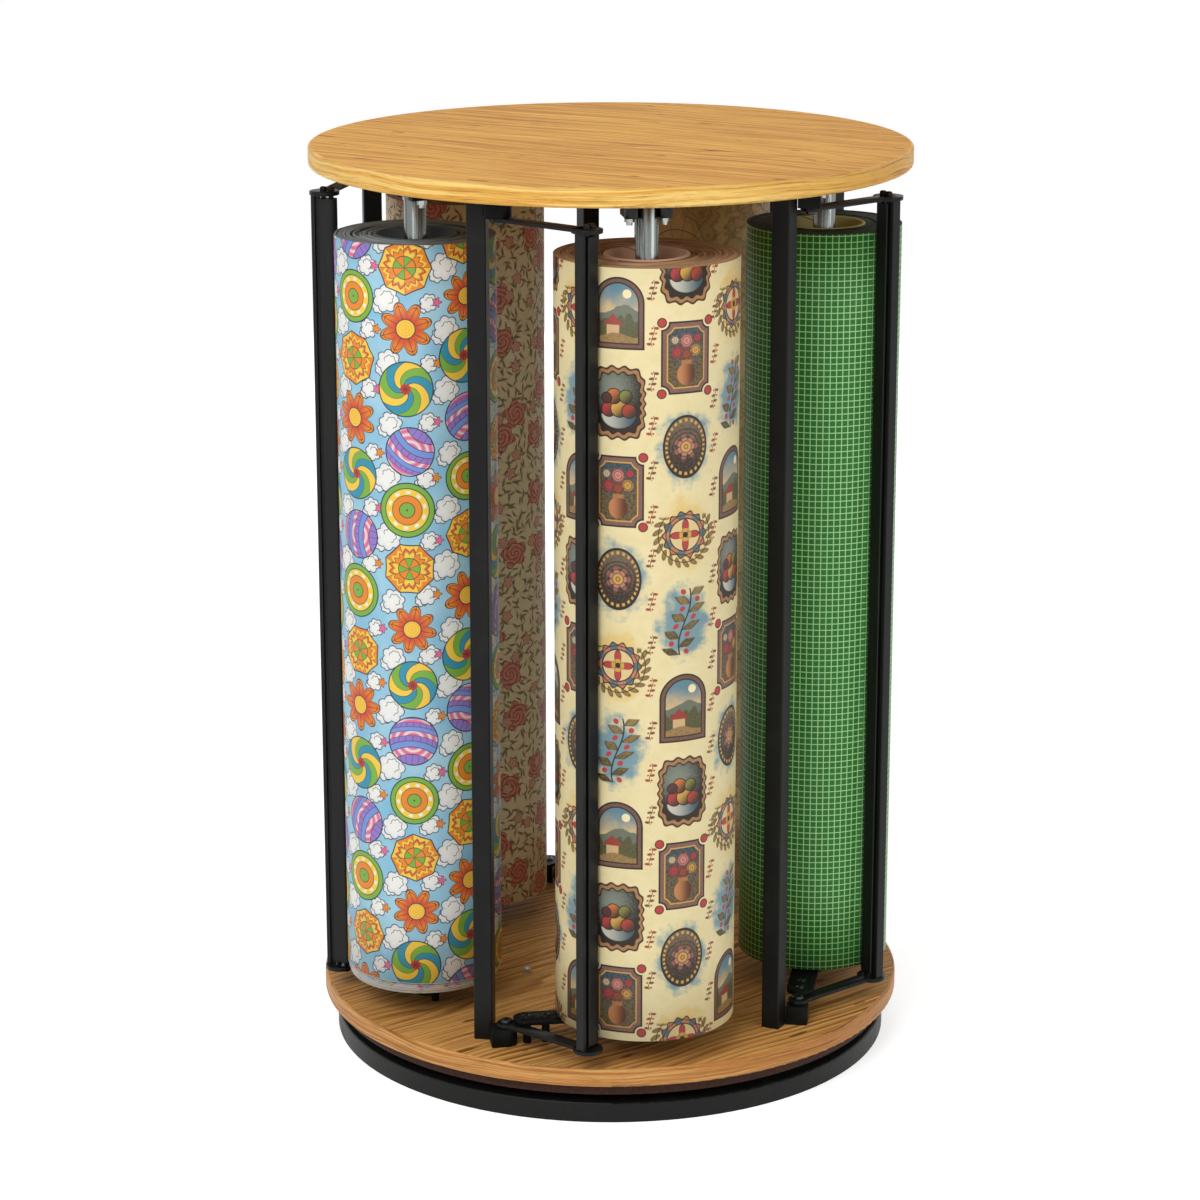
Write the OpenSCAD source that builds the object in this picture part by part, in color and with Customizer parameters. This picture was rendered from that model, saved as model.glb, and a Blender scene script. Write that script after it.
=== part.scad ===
// Revolving floor rack for upright rolls of wrapping paper, with a swinging cutter at every roll.
// Millimetres, +Z up, origin at the centre of the base's underside, front towards -Y.

/* [Boards] */
// Diameter of the round top and bottom boards over their edge bands
board_d = 610; // [560:1:700]
// Thickness of each board
board_t = 19; // [16:0.5:25]
// Thickness of the wooden edge band round each board
band_t = 3; // [1:0.5:5]
// Round-over on the edge band's two outer corners
band_round = 2.5; // [0.5:0.1:5]
// Clear height between the two boards
board_space = 860; // [845:1:1000]

/* [Base] */
// Diameter of the base disc on the floor
base_d = 584; // [400:1:600]
// Thickness of the base disc
base_t = 21; // [15:0.5:30]
// Round-over on the base disc's upper corner
base_round = 2; // [0.5:0.1:5]
// Diameter of the brown plate that carries the bottom board
swivel_d = 586; // [300:1:606]
// Thickness of that plate
swivel_t = 12.5; // [8:0.5:20]

/* [Turntable bearing] */
// Side of the two square bearing plates
bearing_side = 152; // [140:1:200]
// Height of the whole bearing
bearing_h = 9.5; // [9:0.1:12]
// Thickness of each pressed plate
bearing_plate_t = 1.6; // [1.2:0.1:2]
// Hole to hole distance along a plate's side
bearing_hole_gap = 138; // [126:1:142]
// Radius of the ball circle
race_r = 52; // [44:1:54]
// Ball diameter
ball_d = 6; // [5:0.1:6]
// Number of balls
ball_n = 24; // [12:1:40]
// Turn of the bearing plates about the axis
bearing_turn = -20; // [-45:1:45]
// Shank diameter of the bearing's bolts and screws
bearing_bolt_d = 5; // [4:0.5:6]

/* [Roll stations] */
// Angle of the first station, from the front towards the right
first_angle = 9; // [-36:1:36]
// Radius of the circle on which the rods stand
rod_ring_r = 217; // [200:1:230]
// Diameter of the steel rods
rod_d = 22; // [16:0.5:25]
// Length of the paper rolls
roll_len = 773; // [600:1:785]
// Diameter of the roll at station 1, front centre
roll_1_d = 181; // [130:1:190]
// Diameter of the roll at station 2, right
roll_2_d = 157; // [130:1:190]
// Diameter of the roll at station 3, back right
roll_3_d = 146; // [130:1:190]
// Diameter of the roll at station 4, back left
roll_4_d = 168; // [130:1:190]
// Diameter of the roll at station 5, left
roll_5_d = 161; // [130:1:190]
// Inner diameter of the cardboard cores
core_in_d = 76; // [60:0.5:80]
// Wall of the cardboard cores
core_wall = 4; // [2:0.5:5]
// Depth of the uneven wound edges in a roll's end
wound_step = 1.2; // [0.4:0.1:2]
// Diameter of the flange under each roll
bush_flange_d = 110; // [86:1:120]
// Thickness of that flange
bush_flange_t = 2.7; // [2:0.1:4]
// Length of a core bush inside the core
bush_len = 30; // [15:1:50]
// Depth of the upper bush below the core's top
upper_bush_depth = 30; // [5:1:80]

/* [Posts] */
// Side of the square posts
post_side = 19; // [15:0.5:25]
// Wall of the post tube
post_wall = 1.6; // [1.2:0.1:3]
// Sideways place of a post, measured from its rod
post_t = -160; // [-165:1:-155]
// Distance of a post from the axis along its rod's radius
post_r = 194; // [185:1:205]
// Turn of a post's faces from that radius
post_turn = -18; // [-45:1:45]

/* [Cutters] */
// Sideways distance from a rod to its cutter's pivot
pivot_reach = 141; // [139:1:144]
// Distance from the pivot to the cutter bar
arm_len = 105; // [100:1:110]
// Width of the cutter arms
arm_w = 14; // [12:0.5:15]
// Thickness of the cutter arms
arm_t = 4; // [3:0.5:6]
// Radius of the pad at an arm's outer end
arm_pad_r = 15; // [14:0.5:17]
// Diameter of the pivot pins
pin_d = 8; // [6:0.5:8]
// Height of the pivot blocks on the boards
block_h = 18.6; // [12:0.1:19]
// Width of the pivot blocks
block_w = 22; // [18:0.5:24]
// Length of the pivot blocks from the pin to the post's side
block_len = 16; // [8:0.5:18]
// Width of the cutter bar along its arm
bar_w = 12; // [10:0.5:14]
// Depth of the cutter bar's body, towards the roll
bar_depth = 18; // [17:0.5:20]
// Width of the tearing strip's face
strip_w = 10; // [6:0.5:12]
// Thickness of the tearing strip's face
strip_t = 4; // [2:0.5:5]
// Width of the web that joins the strip to the bar
web_w = 4; // [2:0.5:5]
// Depth of the groove between strip and bar
groove = 4; // [2:0.5:5]
// Space that the bar's body leaves below the upper arm and above the lower arm
bar_end_gap = 3.5; // [0:0.5:6]
// Chamfer along the outer corners of the bar and of its strip
bar_chamfer = 0.8; // [0.2:0.1:1]
// Diameter of the bar's riveted tenons
tenon_d = 5; // [4:0.5:5]

/* [Brackets] */
// Width of the bracket that holds a rod's foot
bracket_w = 28; // [26:0.5:36]
// Thickness of the bracket
bracket_t = 4; // [3:0.5:6]
// Radius of the bracket's round end at the rod
bracket_rod_r = 34; // [33:0.5:38]
// Distance from the rod to the bracket's outermost screw, at its round end
outer_screw_gap = 120; // [116:0.5:120]
// Distance from the rod to the bracket's middle screw
middle_screw_gap = 101; // [62:0.5:104]
// Distance from the rod to the bracket's inner screws
inner_screw_gap = 24; // [22:0.5:26]
// Outer diameter of the spacers under the bracket
spacer_d = 8; // [7:0.5:8]
// Shank diameter of the bracket screws
screw_d = 5; // [3:0.5:5]
// Length of the bracket screws in the board
screw_bite = 12; // [6:0.5:14]
// Width of the slotted yoke that holds a rod's top
yoke_w = 46; // [44:0.5:60]
// Height of the yoke
yoke_h = 22; // [10:0.5:30]
// Depth of the yoke behind the rod's centre
yoke_back = 20; // [16:0.5:30]
// Depth of the yoke's prongs in front of the rod's centre
yoke_front = 13; // [8:0.5:20]
// Shank diameter of the yoke's bolts
yoke_bolt_d = 6; // [4:0.5:6]

/* [Clearances] */
// Running clearance on radius, between a shaft and its bore
running = 0.05; // [0.02:0.01:0.1]
// Gap between flat faces that slide over each other
slide_gap = 0.3; // [0.1:0.05:0.5]
// Gap between a cutter bar and its roll
roll_gap = 0.5; // [0.3:0.1:2]
// Assembly clearance on radius, between fixed pieces
seat = 0.1; // [0.02:0.01:0.2]

/* [Hidden] */
STATIONS = 5;
$fn = 96;

// Heights, from the floor up
bearing_z = base_t;
swivel_z = bearing_z + bearing_h;
floor_z = swivel_z + swivel_t + board_t;
ceiling_z = floor_z + board_space;

// Heights of a station's parts above the bottom board and, mirrored, below the top board
arm_z = block_h + slide_gap;
bracket_z = arm_z + arm_t + slide_gap;
roll_seat_z = bracket_z + bracket_t + slide_gap;
roll_z = floor_z + roll_seat_z + bush_flange_t;
pin_head_t = 3;
pin_head_d = pin_d + 4;

// Roll and core
roll_ds = [roll_1_d, roll_2_d, roll_3_d, roll_4_d, roll_5_d];
core_r = core_in_d / 2 + core_wall;
wound_rings = 9;

// Cutter bar section: x towards the roll, y along the arm, zero at the arm's end
bar_nose_r = bar_w / 2;
bar_total = bar_depth + groove + strip_t;
bar_in = bar_total / 2;
bar_out = bar_in - bar_depth;
nose_x = bar_in - bar_nose_r;
tenon_head_d = tenon_d + 2;
tenon_xs = [nose_x, nose_x - tenon_head_d - 1];
tenon_head_t = 4;
bar_low = floor_z + arm_z + arm_t;
bar_high = ceiling_z - arm_z - arm_t;

// Direction of a cutter arm, from its station's radius, with the bar's nose against the roll
nose_reach = norm([arm_len, nose_x]);
function nose_distance(k) = roll_ds[k - 1] / 2 + roll_gap + bar_nose_r;
function arm_angle(k) =
    90 - acos((pow(pivot_reach, 2) + pow(nose_reach, 2) - pow(nose_distance(k), 2))
              / (2 * pivot_reach * nose_reach))
       - atan2(nose_x, arm_len);
function station_angle(k) = first_angle + 360 / STATIONS * (k - 1);

wood = [0.80, 0.58, 0.32];
wood_edge = [0.86, 0.66, 0.36];
brown = [0.20, 0.10, 0.07];
black = [0.07, 0.07, 0.07];
steel = [0.62, 0.65, 0.67];
card = [0.66, 0.50, 0.36];
paper = [[0.95, 0.90, 0.74], [0.10, 0.45, 0.15], [0.72, 0.60, 0.42], [0.60, 0.50, 0.42], [0.45, 0.70, 0.86]];

// Puts its children in a station's frame: x sideways, -y outwards along the radius
module at_station(k) {
    rotate([0, 0, station_angle(k)]) children();
}

module at_rod(k) {
    at_station(k) translate([0, -rod_ring_r, 0]) children();
}

module at_pivot(k) {
    at_rod(k) translate([-pivot_reach, 0, 0]) children();
}

// Puts its children in a cutter's frame: x towards the roll, -y along the arm
module at_cutter(k) {
    at_pivot(k) rotate([0, 0, arm_angle(k)]) children();
}

// Mirrors its children so that what stands on the bottom board hangs from the top board
module at_ceiling() {
    translate([0, 0, ceiling_z]) mirror([0, 0, 1]) children();
}

module each_station() {
    for ($station = [1 : STATIONS]) children();
}

// Round head with a chamfered rim on its free face
module round_head(d, h, chamfer) {
    cylinder(d = d, h = h - chamfer);
    translate([0, 0, h - chamfer]) cylinder(d1 = d, d2 = d - 2 * chamfer, h = chamfer);
}

// Hexagon nut, d across its corners, with the corners of its free face turned off
module hex_nut(d, h) {
    intersection() {
        cylinder(d = d, h = h, $fn = 6);
        cylinder(d1 = 0.9 * d + 3.2 * h, d2 = 0.9 * d, h = h);
    }
}

// Boards and base

module disc_core(z) {
    translate([0, 0, z]) cylinder(d = board_d - 2 * band_t, h = board_t);
}

module edge_band(z) {
    outer = board_d / 2;
    inner = outer - band_t;
    round_r = min(band_round, band_t, board_t / 2);
    translate([0, 0, z]) rotate_extrude() {
        translate([inner, 0]) square([band_t - round_r, board_t]);
        translate([inner, round_r]) square([band_t, board_t - 2 * round_r]);
        for (y = [round_r, board_t - round_r])
            translate([outer - round_r, y]) intersection() {
                circle(r = round_r);
                translate([0, -round_r]) square([round_r, 2 * round_r]);
            }
    }
}

module base_disc() {
    color(black) difference() {
        rotate_extrude() {
            square([base_d / 2, base_t - base_round]);
            square([base_d / 2 - base_round, base_t]);
            translate([base_d / 2 - base_round, base_t - base_round]) intersection() {
                circle(r = base_round);
                square(base_round);
            }
        }
        bearing_holes() translate([0, 0, base_t - screw_bite])
            cylinder(d = bearing_bolt_d + 2 * seat, h = screw_bite + 1);
    }
}

module bottom_board() {
    color(wood) difference() {
        disc_core(floor_z - board_t);
        bearing_holes() translate([0, 0, floor_z - board_t - 1])
            cylinder(d = bearing_bolt_d + 2 * seat, h = board_t + 2);
        each_station() at_rod($station) bracket_screw_places() translate([0, 0, floor_z - screw_bite])
            cylinder(d = screw_d + 2 * seat, h = screw_bite + 1);
    }
}

module bottom_edge_band() { color(wood_edge) edge_band(floor_z - board_t); }

module top_board() {
    color(wood) difference() {
        disc_core(ceiling_z);
        each_station() at_rod($station) yoke_bolt_places() translate([0, 0, ceiling_z - 1])
            cylinder(d = yoke_bolt_d + 2 * seat, h = screw_bite + 1);
    }
}

module top_edge_band() { color(wood_edge) edge_band(ceiling_z); }

module swivel_plate() {
    color(brown) difference() {
        translate([0, 0, swivel_z]) cylinder(d = swivel_d, h = swivel_t);
        bearing_holes() translate([0, 0, swivel_z - 1])
            cylinder(d = bearing_bolt_d + 2 * seat, h = swivel_t + 2);
    }
}

// Turntable bearing: two pressed square plates with a ball race between them

race_mid = bearing_h / 2;
race_lip_gap = 0.8;
race_half_w = ball_d;
plate_corner_r = 8;
bearing_bore_r = race_r - race_half_w - 6;
bolt_head_d = bearing_bolt_d + 4;
bolt_head_t = 2;

module bearing_holes() {
    rotate([0, 0, bearing_turn]) for (x = [-1, 1], y = [-1, 1])
        translate([x * bearing_hole_gap / 2, y * bearing_hole_gap / 2, 0]) children();
}

module rounded_square(side, r) {
    square([side - 2 * r, side], center = true);
    square([side, side - 2 * r], center = true);
    for (x = [-1, 1], y = [-1, 1]) translate([x * (side / 2 - r), y * (side / 2 - r)]) circle(r = r);
}

module bearing_half() {
    difference() {
        rotate([0, 0, bearing_turn]) linear_extrude(bearing_plate_t) difference() {
            rounded_square(bearing_side, plate_corner_r);
            circle(r = bearing_bore_r);
        }
        bearing_holes() translate([0, 0, -1])
            cylinder(d = bearing_bolt_d + 2 * seat, h = bearing_plate_t + 2);
    }
    rotate_extrude() difference() {
        translate([race_r - race_half_w, bearing_plate_t - 0.2])
            square([2 * race_half_w, race_mid - race_lip_gap / 2 - bearing_plate_t + 0.2]);
        translate([race_r, race_mid]) circle(r = ball_d / 2 + running);
    }
}

module bearing_lower_plate() { color(steel) translate([0, 0, bearing_z]) bearing_half(); }

module bearing_upper_plate() {
    color(steel) translate([0, 0, swivel_z]) mirror([0, 0, 1]) bearing_half();
}

module bearing_balls() {
    color(steel) for (i = [0 : ball_n - 1]) rotate([0, 0, 360 / ball_n * i])
        translate([race_r, 0, bearing_z + race_mid]) sphere(d = ball_d);
}

module bearing_base_screws() {
    color(steel) bearing_holes() {
        translate([0, 0, bearing_z + bearing_plate_t]) cylinder(d = bolt_head_d, h = bolt_head_t);
        translate([0, 0, bearing_z - screw_bite + 1])
            cylinder(d = bearing_bolt_d, h = screw_bite - 1 + bearing_plate_t + bolt_head_t / 2);
    }
}

// Bolts come up through the bottom board and end in a hexagon nut and a domed end
module swivel_bolts() {
    nut_t = bearing_bolt_d * 0.8;
    nut_d = bearing_bolt_d * 1.85;
    head_z = swivel_z - bearing_plate_t - bolt_head_t;
    end_z = floor_z + nut_t;
    color(steel) bearing_holes() {
        translate([0, 0, head_z]) cylinder(d = bolt_head_d, h = bolt_head_t);
        translate([0, 0, head_z + bolt_head_t / 2])
            cylinder(d = bearing_bolt_d, h = end_z - head_z - bolt_head_t / 2);
        translate([0, 0, floor_z]) hex_nut(nut_d, nut_t);
        translate([0, 0, end_z]) intersection() {
            sphere(d = bearing_bolt_d);
            cylinder(d = nut_d, h = bearing_bolt_d);
        }
    }
}

// Posts, rods and the pieces that hold them

module post(k) {
    color(black) at_station(k) translate([post_t, -post_r, floor_z]) rotate([0, 0, post_turn])
        linear_extrude(board_space) difference() {
            rounded_square(post_side, post_wall);
            square(post_side - 2 * post_wall, center = true);
        }
}

module rods() {
    color(steel) each_station() at_rod($station)
        translate([0, 0, floor_z]) cylinder(d = rod_d, h = board_space);
}

// Screw places of a bracket, in the rod's frame: two by the rod and two towards the pivot
inner_screw_xs = [-inner_screw_gap, inner_screw_gap];
outer_screw_xs = [-middle_screw_gap, -outer_screw_gap];

module bracket_screw_places() {
    for (x = concat(inner_screw_xs, outer_screw_xs)) translate([x, 0, 0]) children();
}

module yoke_bolt_places() {
    for (side = [-1, 1])
        translate([side * (rod_d / 2 + yoke_w / 2) / 2, 0, 0]) children();
}

module lower_brackets() {
    inner_head_h = screw_d / 2;
    color(black) each_station() at_rod($station) translate([0, 0, floor_z + bracket_z]) difference() {
        linear_extrude(bracket_t) {
            circle(r = bracket_rod_r);
            translate([-outer_screw_gap, -bracket_w / 2]) square([outer_screw_gap, bracket_w]);
            translate([-outer_screw_gap, 0]) circle(d = bracket_w);
        }
        translate([0, 0, -1]) cylinder(d = rod_d + 2 * seat, h = bracket_t + 2);
        bracket_screw_places() translate([0, 0, -1]) cylinder(d = screw_d + 2 * seat, h = bracket_t + 2);
        for (x = inner_screw_xs)
            translate([x, 0, bracket_t - inner_head_h])
                cylinder(d = 2 * screw_d + 2 * seat, h = inner_head_h + 1);
    }
}

module bracket_spacers() {
    color(black) each_station() at_rod($station) bracket_screw_places() translate([0, 0, floor_z])
        difference() {
            cylinder(d = spacer_d, h = bracket_z);
            translate([0, 0, -1]) cylinder(d = screw_d + 2 * seat, h = bracket_z + 2);
        }
}

// The two inner heads lie flush under the roll's flange; the two outer ones stand on the bracket
module bracket_screws() {
    top = floor_z + bracket_z + bracket_t;
    head_h = screw_d / 2;
    color(steel) each_station() at_rod($station) {
        bracket_screw_places() translate([0, 0, floor_z - screw_bite + 1])
            cylinder(d = screw_d, h = top - floor_z + screw_bite - 1);
        for (x = inner_screw_xs)
            translate([x, 0, top - head_h]) cylinder(d = 2 * screw_d, h = head_h);
        for (x = outer_screw_xs) translate([x, 0, top]) difference() {
            rotate_extrude() intersection() {
                translate([0, -screw_d]) circle(r = head_h + screw_d);
                square([screw_d, head_h]);
            }
            translate([0, 0, head_h / 2]) cylinder(d = 0.7 * screw_d, h = head_h, $fn = 6);
        }
    }
}

module rod_yokes() {
    color(black) each_station() at_rod($station) at_ceiling() difference() {
        translate([-yoke_w / 2, -yoke_front, 0]) cube([yoke_w, yoke_front + yoke_back, yoke_h]);
        translate([0, 0, -1]) cylinder(d = rod_d + 2 * seat, h = yoke_h + 2);
        translate([-rod_d / 2 - seat, -yoke_front - 1, -1])
            cube([rod_d + 2 * seat, yoke_front + 1, yoke_h + 2]);
        yoke_bolt_places() translate([0, 0, -1]) cylinder(d = yoke_bolt_d + 2 * seat, h = yoke_h + 2);
    }
}

module yoke_bolts() {
    nut_t = yoke_bolt_d * 0.8;
    stub = yoke_bolt_d * 0.5;
    color(steel) each_station() at_rod($station) at_ceiling() yoke_bolt_places() {
        translate([0, 0, -screw_bite + 1]) cylinder(d = yoke_bolt_d, h = yoke_h + nut_t + stub + screw_bite - 1);
        translate([0, 0, yoke_h]) hex_nut(yoke_bolt_d * 1.7, nut_t);
    }
}

// Closed pivot blocks, one on each board, with the cutter's return spring inside the lower one
module pivot_block() {
    difference() {
        union() {
            cylinder(d = block_w, h = block_h);
            translate([-block_len, -block_w / 2, 0]) cube([block_len, block_w, block_h]);
        }
        translate([0, 0, -1]) cylinder(d = pin_d + 2 * seat, h = block_h + 2);
    }
}

module pivot_blocks() {
    color(black) each_station() at_pivot($station) {
        translate([0, 0, floor_z]) pivot_block();
        at_ceiling() pivot_block();
    }
}

module pivot_pin(head_z) {
    cylinder(d = pin_d, h = head_z);
    translate([0, 0, head_z]) difference() {
        round_head(pin_head_d, pin_head_t, 0.6);
        translate([0, 0, 1]) cylinder(d = 0.6 * pin_d, h = pin_head_t, $fn = 6);
    }
}

module pivot_pins() {
    color(steel) each_station() at_pivot($station) {
        translate([0, 0, floor_z]) pivot_pin(bracket_z);
        at_ceiling() pivot_pin(bracket_z);
    }
}

// Rolls of paper on their cores

// Unevenness of wound layer i, from 0 to 1
function layer_wave(i) = (1 + sin(137.5 * i + 60)) / 2;

module paper_roll(k) {
    outer = roll_ds[k - 1] / 2;
    inner = core_r + seat;
    step = (outer - inner) / wound_rings;
    last = wound_rings - 1;
    heights = [for (i = [0 : last]) roll_len - (i == last ? 0 : wound_step * layer_wave(i + k))];
    color(paper[k - 1]) at_rod(k) translate([0, 0, roll_z]) rotate_extrude()
        polygon(concat([[inner, 0], [outer, 0]],
                       [for (i = [last : -1 : 0], side = [1, 0]) [inner + (i + side) * step, heights[i]]]));
}

module roll_core(k) {
    color(card) at_rod(k) translate([0, 0, roll_z]) difference() {
        cylinder(r = core_r, h = roll_len);
        translate([0, 0, -1]) cylinder(d = core_in_d, h = roll_len + 2);
    }
}

module core_bush() {
    difference() {
        cylinder(d = core_in_d - 2 * seat, h = bush_len);
        translate([0, 0, -bush_flange_t - 1]) cylinder(d = rod_d + 2 * running, h = bush_len + bush_flange_t + 2);
    }
}

module core_bushes(k) {
    color(black) at_rod(k) translate([0, 0, roll_z]) {
        core_bush();
        translate([0, 0, -bush_flange_t]) difference() {
            cylinder(d = bush_flange_d, h = bush_flange_t);
            translate([0, 0, -1]) cylinder(d = rod_d + 2 * running, h = bush_flange_t + 2);
        }
        translate([0, 0, roll_len - upper_bush_depth - bush_len]) core_bush();
    }
}

// Cutters: two arms, a bar pressed against the roll, and the strip that the paper is torn on

module cutter_arm() {
    difference() {
        linear_extrude(arm_t) {
            circle(d = pin_d + 12);
            translate([-arm_w / 2, -arm_len]) square([arm_w, arm_len]);
            translate([0, -arm_len]) circle(r = arm_pad_r);
        }
        translate([0, 0, -1]) cylinder(d = pin_d + 2 * running, h = arm_t + 2);
        for (x = tenon_xs) translate([x, -arm_len, -1]) cylinder(d = tenon_d + 2 * seat, h = arm_t + 2);
    }
}

module lower_arm(k) {
    color(black) at_cutter(k) translate([0, 0, floor_z + arm_z]) cutter_arm();
}

module upper_arm(k) {
    color(black) at_cutter(k) translate([0, 0, ceiling_z - arm_z - arm_t]) cutter_arm();
}

// Flat of a bar's section from x = from to x = to, its two corners at x = from chamfered
module chamfered_flat(from, to, w) {
    half = w / 2;
    polygon([[from, bar_chamfer - half], [from + bar_chamfer, -half], [to, -half],
             [to, half], [from + bar_chamfer, half], [from, half - bar_chamfer]]);
}

module cutter_bar(k) {
    color(black) at_cutter(k) translate([0, -arm_len, 0]) {
        translate([0, 0, bar_low + bar_end_gap]) linear_extrude(bar_high - bar_low - 2 * bar_end_gap) {
            chamfered_flat(bar_out, nose_x, bar_w);
            translate([nose_x, 0]) circle(r = bar_nose_r);
        }
        for (x = tenon_xs) translate([x, 0, 0]) {
            translate([0, 0, bar_low - arm_t]) cylinder(d = tenon_d, h = bar_high - bar_low + 2 * arm_t);
            translate([0, 0, bar_high + arm_t]) round_head(tenon_head_d, tenon_head_t, 1);
            translate([0, 0, bar_low - arm_t]) mirror([0, 0, 1]) round_head(tenon_head_d, tenon_head_t, 1);
        }
    }
}

module tear_strip(k) {
    color(black) at_cutter(k) translate([0, -arm_len, bar_low]) linear_extrude(bar_high - bar_low) {
        chamfered_flat(-bar_in, strip_t - bar_in, strip_w);
        translate([-bar_in + strip_t / 2, -web_w / 2]) square([bar_total - bar_depth - strip_t / 2, web_w]);
    }
}

base_disc();
bearing_lower_plate();
bearing_balls();
bearing_base_screws();
bearing_upper_plate();
swivel_plate();
swivel_bolts();
bottom_board();
bottom_edge_band();
top_board();
top_edge_band();
rods();
lower_brackets();
bracket_spacers();
bracket_screws();
rod_yokes();
yoke_bolts();
pivot_blocks();
pivot_pins();
for (k = [1 : STATIONS]) {
    post(k);
    paper_roll(k);
    roll_core(k);
    core_bushes(k);
    lower_arm(k);
    upper_arm(k);
    cutter_bar(k);
    tear_strip(k);
}
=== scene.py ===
import math

import bmesh
import bpy
import numpy as np
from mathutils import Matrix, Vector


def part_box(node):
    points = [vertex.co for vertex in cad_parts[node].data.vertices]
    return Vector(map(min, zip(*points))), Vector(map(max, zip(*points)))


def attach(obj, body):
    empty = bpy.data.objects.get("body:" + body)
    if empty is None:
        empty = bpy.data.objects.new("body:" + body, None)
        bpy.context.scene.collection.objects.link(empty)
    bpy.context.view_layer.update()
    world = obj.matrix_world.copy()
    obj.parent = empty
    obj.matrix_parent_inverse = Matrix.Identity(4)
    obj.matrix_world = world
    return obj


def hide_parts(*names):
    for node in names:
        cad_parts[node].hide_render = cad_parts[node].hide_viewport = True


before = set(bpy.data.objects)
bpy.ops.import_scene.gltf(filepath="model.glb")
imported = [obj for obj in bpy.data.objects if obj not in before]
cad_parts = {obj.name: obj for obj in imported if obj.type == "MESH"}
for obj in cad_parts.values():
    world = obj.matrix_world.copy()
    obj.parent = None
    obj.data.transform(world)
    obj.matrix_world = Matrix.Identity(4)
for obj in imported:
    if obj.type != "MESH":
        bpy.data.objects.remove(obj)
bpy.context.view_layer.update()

# Base disc: a heavy round board that lies on the floor and keeps the rack from tipping.
# It is sealed and painted satin black, and only its edge shows below the turning boards.


class Flow:
    """A socket in a material. Arithmetic adds Math nodes, and every other node comes from node()."""

    def __init__(self, tree, socket):
        self.tree, self.socket = tree, socket

    def node(self, kind, settings=None, sockets=None, out=0):
        """Adds a node of this type, makes its settings, then fills its sockets with values or links."""
        made = self.tree.nodes.new("ShaderNode" + kind)
        for name, value in (settings or {}).items():
            setattr(made, name, value)
        for name, value in (sockets or {}).items():
            if isinstance(value, Flow):
                self.tree.links.new(value.socket, made.inputs[name])
            else:
                made.inputs[name].default_value = value
        return Flow(self.tree, made.outputs[out])

    def math(self, operation, *others):
        """A Math node on this number and the others."""
        return self.node("Math", {"operation": operation}, dict(enumerate((self, *others))))

    def __add__(self, other):
        return self.math("ADD", other)

    __radd__ = __add__

    def __sub__(self, other):
        return self.math("SUBTRACT", other)

    def __rsub__(self, other):
        return self.node("Math", {"operation": "SUBTRACT"}, {0: other, 1: self})

    def __mul__(self, other):
        return self.math("MULTIPLY", other)

    __rmul__ = __mul__

    def __truediv__(self, other):
        return self.math("DIVIDE", other)

    def __rtruediv__(self, other):
        return self.node("Math", {"operation": "DIVIDE"}, {0: other, 1: self})

    def __abs__(self):
        return self.math("ABSOLUTE")

    def rise(self, low, high):
        """0 below low and 1 above high, eased in between."""
        return self.node("MapRange", {"interpolation_type": "SMOOTHSTEP"},
                         {"Value": self, "From Min": low, "From Max": high})

    def parts(self):
        """The three numbers of a vector."""
        return [self.node("SeparateXYZ", None, {0: self}, axis) for axis in range(3)]

    def spot(self, x, y, z=0.0):
        """A vector from three numbers."""
        return self.node("CombineXYZ", None, {0: x, 1: y, 2: z})

    def noise(self, scale, detail=3.0, rough=0.55):
        """Noise between 0 and 1 over this vector."""
        return self.node("TexNoise", None,
                         {"Vector": self, "Scale": scale, "Detail": detail, "Roughness": rough})

    def over(self, under, paint):
        """A colour: paint where this mask is 1, what lies under it where the mask is 0."""
        return self.node("Mix", {"data_type": "RGBA"}, {0: self, 6: under, 7: paint}, 2)


def tone(red, green, blue):
    """A colour as the eye names it, 0 to 255 a channel, turned into the linear values of a shader."""
    c = np.array([red, green, blue]) / 255
    return (*np.where(c <= 0.04045, c / 12.92, ((c + 0.055) / 1.055) ** 2.4).tolist(), 1.0)


def finish(name, follow="Object"):
    """A new material, and the coordinates that its pattern follows."""
    made = bpy.data.materials.new(name)
    made.use_nodes = True
    return made, Flow(made.node_tree, None).node("TexCoord", out=follow)


def coat(material, sockets, height=None, depth=0.0):
    """Sets the sockets of a material's shader, and bumps it by height times depth in metres."""
    tree = material.node_tree
    shader = tree.nodes["Principled BSDF"]
    if height is not None:
        sockets["Normal"] = height.node("Bump", None, {"Height": height, "Distance": depth})
    for name, value in sockets.items():
        if isinstance(value, Flow):
            tree.links.new(value.socket, shader.inputs[name])
        else:
            shader.inputs[name].default_value = value
    return material


def dress(material, *nodes):
    """Gives CAD nodes a finish."""
    for node in nodes:
        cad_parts[node].material_slots[0].material = material


base_paint, at = finish("base_paint")
orange_peel = at.noise(260, 2)
scuffs = at.noise(34, 6, 0.7).rise(0.52, 0.75)
coat(base_paint, {"Base Color": scuffs.over(tone(15, 17, 15), tone(33, 34, 31)), "Specular IOR Level": 0.2,
                  "Roughness": 0.45 + 0.16 * scuffs}, orange_peel, depth=0.0004)
dress(base_paint, "base_disc")

# Turntable bearing: two pressed steel plates with balls between them, bright zinc plated.
# Screws hold the lower plate to the base, and bolts come up from the upper one through the bottom board.

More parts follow.
